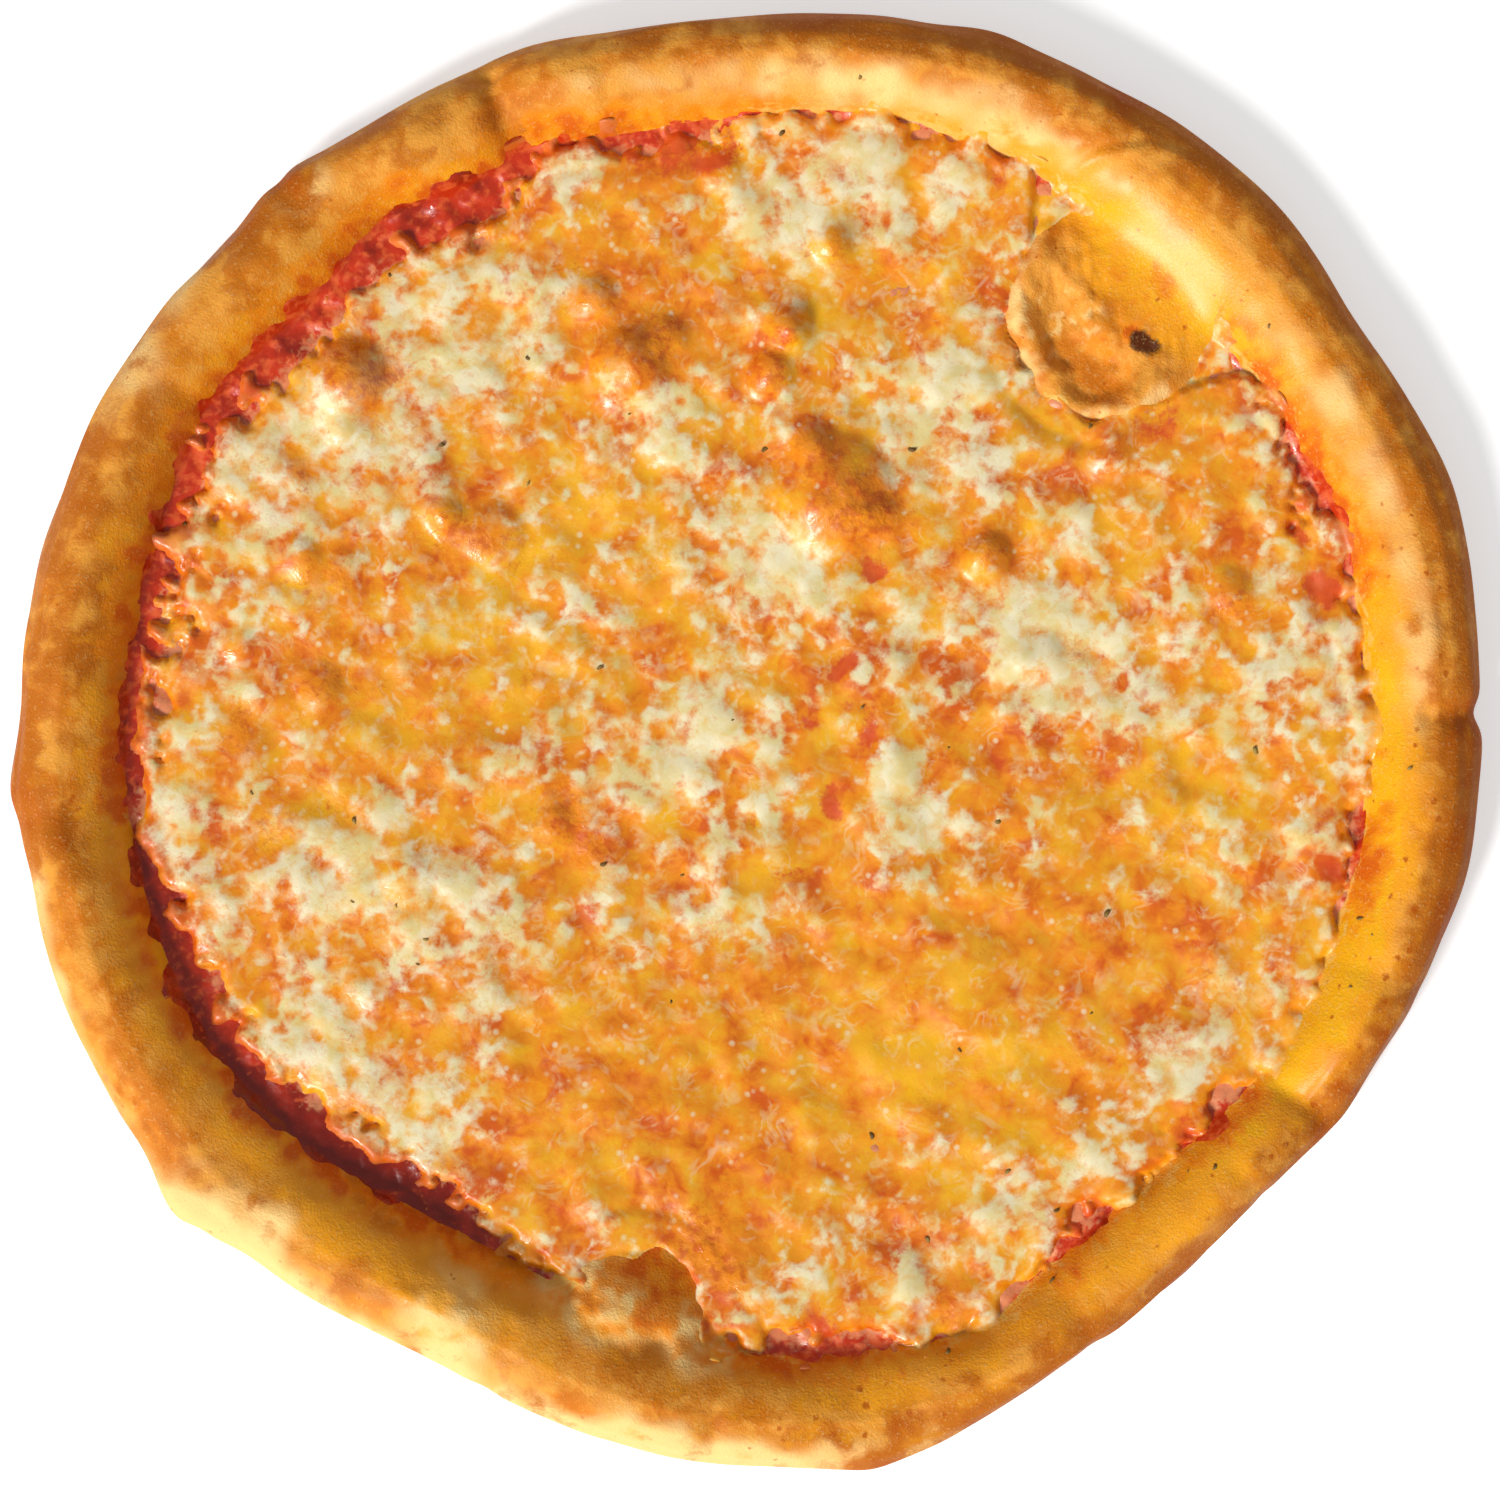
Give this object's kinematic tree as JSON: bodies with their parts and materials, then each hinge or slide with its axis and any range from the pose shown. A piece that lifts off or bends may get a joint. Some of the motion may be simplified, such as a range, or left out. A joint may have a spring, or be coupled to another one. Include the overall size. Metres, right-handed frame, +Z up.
{
  "type": "margherita pizza",
  "caption": "Round thin-crust pizza with a puffed browned rim, tomato sauce and melted cheese, lying flat on its base.",
  "frame": {"origin": "middle of the bounding box, on the flat underside of the base", "axes": "+Z up out of the topping; +Y towards the side that is uppermost when the pizza is seen from above"},
  "size_m": [0.3042, 0.3014, 0.0195],
  "materials": {
    "crust": "baked dough, golden with browned patches, finely grained",
    "sauce": "wet cooked tomato",
    "mozzarella": "melted cheese, cream to orange with oil",
    "oregano": "dried herb flakes"
  },
  "bodies": {
    "root": {"crust": "crust", "sauce": "sauce", "mozzarella": "mozzarella"}
  },
  "joints": []
}
